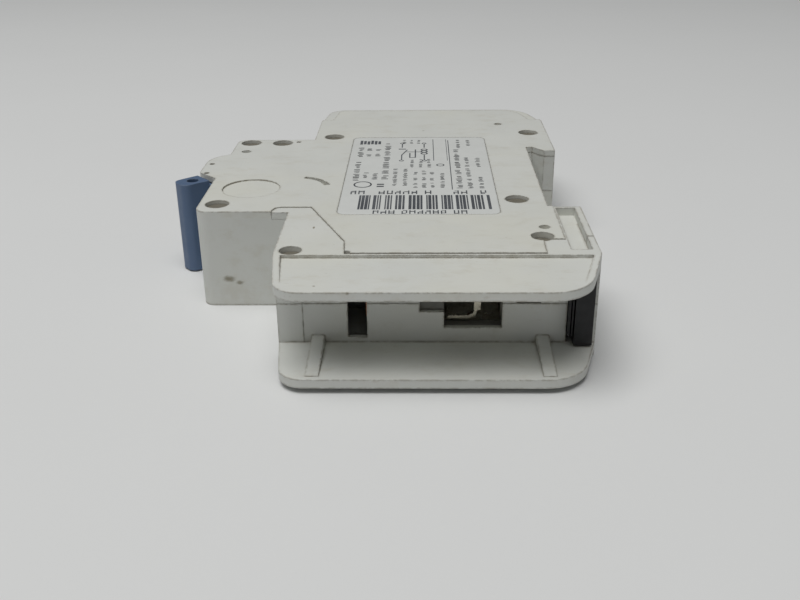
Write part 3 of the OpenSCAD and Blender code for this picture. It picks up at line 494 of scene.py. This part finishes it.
class Print:
    """Flat ink marks on the label, in millimetres from its load-side corner."""

    THICK = 0.02
    SUNK = 0.004

    def __init__(self, name, seed):
        low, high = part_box("rating_label")
        self.name = name
        self.corner = low.xy
        self.top = high.z
        self.draw = random.Random(seed)
        self.points = []
        self.faces = []

    def prism(self, outline):
        """Closed prism over a counter-clockwise outline."""
        n = len(outline)
        base = len(self.points)
        for height in (-self.SUNK, self.THICK):
            for x, y in outline:
                place = self.corner + Vector((x, y)) * MM
                self.points.append((place.x, place.y, self.top + height * MM))
        self.faces.append([base + i for i in reversed(range(n))])
        self.faces.append([base + n + i for i in range(n)])
        for i in range(n):
            j = (i + 1) % n
            self.faces.append([base + i, base + j, base + n + j, base + n + i])

    def bar(self, x0, x1, y0, y1):
        self.prism([(x0, y0), (x1, y0), (x1, y1), (x0, y1)])

    def ring(self, x, y, radius_x, radius_y, width, steps=20):
        """Outline of an ellipse, as short wedges."""
        for i in range(steps):
            a, b = (2 * math.pi * k / steps for k in (i, i + 1))
            outer = [(x + radius_x * math.cos(t), y + radius_y * math.sin(t)) for t in (a, b)]
            inner = [
                (x + (radius_x - width) * math.cos(t), y + (radius_y - width) * math.sin(t))
                for t in (b, a)
            ]
            self.prism(outer + inner)

    def words(self, x, y, length, height):
        """An upright line of meaningless strokes, grouped like words, centred on x."""
        at = 0.0
        while at < length:
            for _ in range(self.draw.randint(2, 6)):
                wide = height * self.draw.uniform(0.34, 0.56)
                if at + wide > length:
                    return
                for _ in range(2):
                    low = self.draw.uniform(0, 0.35) * height
                    high = height - self.draw.uniform(0, 0.35) * height
                    start = at + self.draw.uniform(0, 0.3) * wide
                    end = start + self.draw.uniform(0.3, 0.6) * wide
                    self.bar(x - high + height / 2, x - low + height / 2, y + start, y + end)
                at += wide + 0.14 * height
            at += height * self.draw.uniform(0.4, 0.9)

    def large_words(self, x, y, length, height):
        """A line of larger meaningless signs across the label: thin stems and rungs."""
        pen = 0.13 * height
        at = x
        while at < x + length:
            for _ in range(self.draw.randint(3, 7)):
                wide = height * self.draw.uniform(0.5, 0.62)
                if at + wide > x + length:
                    return
                low = y - height / 2
                lift = self.draw.uniform(0.1, 0.5) * height
                self.bar(at, at + pen, low, low + height - lift * self.draw.randint(0, 1))
                raised = low + lift * self.draw.randint(0, 1)
                self.bar(at + wide - pen, at + wide, raised, low + height)
                for _ in range(2):
                    rung = low + self.draw.uniform(0, 1) * (height - pen)
                    self.bar(at + pen, at + wide - pen, rung, rung + pen)
                at += wide + 0.2 * height
            at += height * self.draw.uniform(0.4, 0.7)

    def done(self, material):
        mesh = bpy.data.meshes.new(self.name)
        mesh.from_pydata(self.points, [], self.faces)
        mesh.materials.append(material)
        piece = bpy.data.objects.new(self.name, mesh)
        bpy.context.scene.collection.objects.link(piece)
        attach(piece, "housing")


# Upright lines of small print: distance from the label's near side, start, length, height
TEXT_LINES = [
    (2.0, 33.7, 8.1, 1.1), (2.0, 18.3, 12.4, 1.1),
    (3.7, 34.1, 1.8, 1.0), (5.5, 34.1, 1.8, 1.0), (3.7, 38.0, 1.9, 1.0), (5.5, 38.0, 1.9, 1.0),
    (3.7, 19.9, 4.0, 1.0), (5.5, 19.0, 4.9, 1.0),
    (7.4, 19.1, 24.6, 1.2),
    (10.7, 43.3, 3.1, 0.7), (12.2, 43.3, 3.1, 0.7), (13.7, 43.3, 3.1, 0.7),
    (12.4, 26.5, 5.7, 0.7), (14.1, 26.5, 5.7, 0.7), (15.7, 26.5, 5.7, 0.7),
    (9.3, 15.3, 10.7, 0.8), (11.2, 15.3, 10.7, 0.8),
    (13.1, 14.1, 2.9, 0.8), (13.1, 18.4, 2.4, 0.8), (13.1, 22.0, 2.5, 0.8),
    (14.7, 14.1, 2.9, 0.8), (14.7, 18.4, 2.4, 0.8), (14.7, 22.0, 2.5, 0.8),
    (16.2, 14.1, 2.9, 0.8), (16.2, 18.4, 2.4, 0.8), (16.2, 22.0, 2.5, 0.8),
    (18.1, 14.1, 9.2, 0.8),
    (21.2, 13.7, 25.4, 1.1), (21.8, 39.9, 6.6, 0.7), (23.9, 41.5, 4.5, 0.8),
    (23.1, 13.7, 5.6, 0.9), (23.1, 20.6, 5.1, 0.9), (23.1, 27.0, 6.0, 0.9),
    (25.2, 13.7, 7.3, 0.9), (25.2, 26.8, 6.5, 0.9),
]
# Lines of larger print across the label, beside the bar code: start, distance from
# the near side, length, height
CROSS_LINES = [
    (1.6, 11.5, 3.4, 1.9), (6.6, 11.5, 10.6, 1.9),
    (19.9, 11.5, 3.4, 1.9), (24.7, 11.5, 1.4, 1.9),
    (6.0, 1.1, 17.1, 1.7),
]


def print_text(material):
    page = Print("label_print", 11)
    for x, y, length, height in TEXT_LINES:
        page.words(x, y, length, 1.15 * height)
    for x, y, length, height in CROSS_LINES:
        page.large_words(x, y, length, height)
    # plain ring and two bars where the approval marks were
    page.ring(3.5, 16.0, 1.7, 1.8, 0.3)
    page.bar(6.1, 7.4, 14.6, 15.2)
    page.bar(6.1, 7.4, 15.8, 16.4)
    # dark heading block in the far corner
    for i in range(6):
        page.bar(1.5 + 0.75 * i, 2.05 + 0.75 * i, 42.7 + 0.2 * (i % 2), 45.6 - 0.25 * (i % 3))
    # rules between the columns
    rules = ((19.7, 0.16, 13.0, 45.6), (16.6, 0.14, 31.0, 46.4), (19.3, 0.1, 31.0, 46.4))
    for x, width, y0, y1 in rules:
        page.bar(x, x + width, y0, y1)
    page.ring(17.9, 28.0, 0.8, 0.8, 0.22)
    page.done(material)


def print_diagram(material):
    """Wiring diagram: a switch, a coil and a heater in line between two terminals."""
    page = Print("label_diagram", 12)
    left, right, thin = 10.2, 14.7, 0.22
    for x in (left, right):
        page.bar(x, x + thin, 31.4, 35.0)
        page.bar(x, x + thin, 40.2, 43.0)
        page.ring(x + thin / 2, 43.4, 0.5, 0.5, 0.2, 12)
        page.ring(x + thin / 2, 31.0, 0.5, 0.5, 0.2, 12)
    page.prism([(left, 35.0), (left + 0.25, 35.0), (left + 1.3, 38.6), (left + 1.05, 38.6)])
    page.bar(left - 0.6, left + 0.9, 38.9, 39.4)
    for i in range(3):
        page.ring(right + 0.1, 36.0 + 1.3 * i, 0.75, 0.75, 0.3, 12)
    page.bar(left + 1.0, right - 0.6, 37.0, 37.22)
    page.bar(right - 1.8, right - 1.55, 33.2, 38.8)
    page.bar(left + 1.6, left + 1.85, 33.2, 36.2)
    page.bar(left + 1.6, right - 1.55, 33.0, 33.25)
    page.done(material)


def print_bars(material):
    """Bars of random widths and spacing in groups: a pattern, not a code."""
    page = Print("label_bars", 13)
    start, end, near, far = 3.3, 26.2, 2.5, 9.9
    x = start
    while x < end:
        for _ in range(page.draw.randint(3, 4)):
            wide = page.draw.choice((0.24, 0.36, 0.52))
            if x + wide < end:
                page.bar(x, x + wide, near, far)
            x += wide + page.draw.choice((0.12, 0.18))
        x += page.draw.uniform(0.35, 0.6)
    page.done(material)


# ---------------------------------------------------------------- studio

# Half the floor's side in metres, and how far it lies below the breaker in millimetres
FLOOR_HALF = 3.0
FLOOR_GAP = 0.02
SKY_COLOUR, SKY_STRENGTH = (0.97, 0.985, 1.0, 1), 0.14
# Softbox overhead, a little towards the camera and to the left: metres and watts
SOFTBOX_AT = Vector((-0.21, -0.2, 1.0))
SOFTBOX_AIM = Vector((-0.02, 0, 0))
SOFTBOX_WIDTH, SOFTBOX_DEPTH, SOFTBOX_POWER = 0.9, 0.7, 8.7
SOFTBOX_COLOUR = (1.0, 0.995, 0.98)
# Camera solved from the photo: eye in millimetres, lens, and how it is turned
EYE = Vector((-21.664, -171.192, 71.126))
FOCAL_LENGTH, SENSOR_WIDTH = 42.43, 36.0
DOWN, YAW, ROLL = 25.02, -1.37, -0.60


def floor():
    """White card that the breaker lies on."""
    card = Surface("floor_card", roughness=0.9, specular=0.1)
    tone = card.mix(card.noise(60, 3), linear(222, 223, 223), linear(219, 220, 220))
    specks = card.band(card.noise(1.2, 3, 0.6), 0.78, 0.85, 0.0, 0.4)
    tone = card.mix(specks, tone, linear(170, 170, 168))
    material = card.finish(tone, card.bump(card.noise(0.6, 3), 0.01))
    half = FLOOR_HALF
    height = CAD_BOUNDS[0][2] - FLOOR_GAP * MM
    corners = [(-half, -half), (half, -half), (half, half), (-half, half)]
    mesh = bpy.data.meshes.new("floor")
    mesh.from_pydata([(x, y, height) for x, y in corners], [], [[0, 1, 2, 3]])
    mesh.materials.append(material)
    made = bpy.data.objects.new("floor", mesh)
    bpy.context.scene.collection.objects.link(made)


def lights():
    scene = bpy.context.scene
    scene.world = bpy.data.worlds.new("studio")
    scene.world.use_nodes = True
    sky = scene.world.node_tree.nodes["Background"]
    sky.inputs["Color"].default_value = SKY_COLOUR
    sky.inputs["Strength"].default_value = SKY_STRENGTH
    light = bpy.data.lights.new("softbox", "AREA")
    light.shape = "RECTANGLE"
    light.size = SOFTBOX_WIDTH
    light.size_y = SOFTBOX_DEPTH
    light.energy = SOFTBOX_POWER
    light.color = SOFTBOX_COLOUR
    lamp = bpy.data.objects.new("softbox", light)
    lamp.location = SOFTBOX_AT
    lamp.rotation_euler = (SOFTBOX_AIM - SOFTBOX_AT).to_track_quat("-Z", "Y").to_euler()
    scene.collection.objects.link(lamp)


def camera():
    """Standing at the load end, looking down on the breaker that lies on its side."""
    lens = bpy.data.cameras.new("camera")
    lens.sensor_width = SENSOR_WIDTH
    lens.lens = FOCAL_LENGTH
    lens.clip_start = 0.01
    eye = bpy.data.objects.new("camera", lens)
    turn = (
        Matrix.Rotation(math.radians(-YAW), 4, "Z")
        @ Matrix.Rotation(math.radians(90 - DOWN), 4, "X")
        @ Matrix.Rotation(math.radians(ROLL), 4, "Z")
    )
    eye.matrix_world = Matrix.Translation(EYE * MM) @ turn
    bpy.context.scene.collection.objects.link(eye)
    bpy.context.scene.camera = eye


paint_nodes()
INK = ink()
print_text(INK)
print_diagram(INK)
print_bars(INK)
floor()
lights()
camera()
bpy.context.scene.view_settings.view_transform = "Standard"
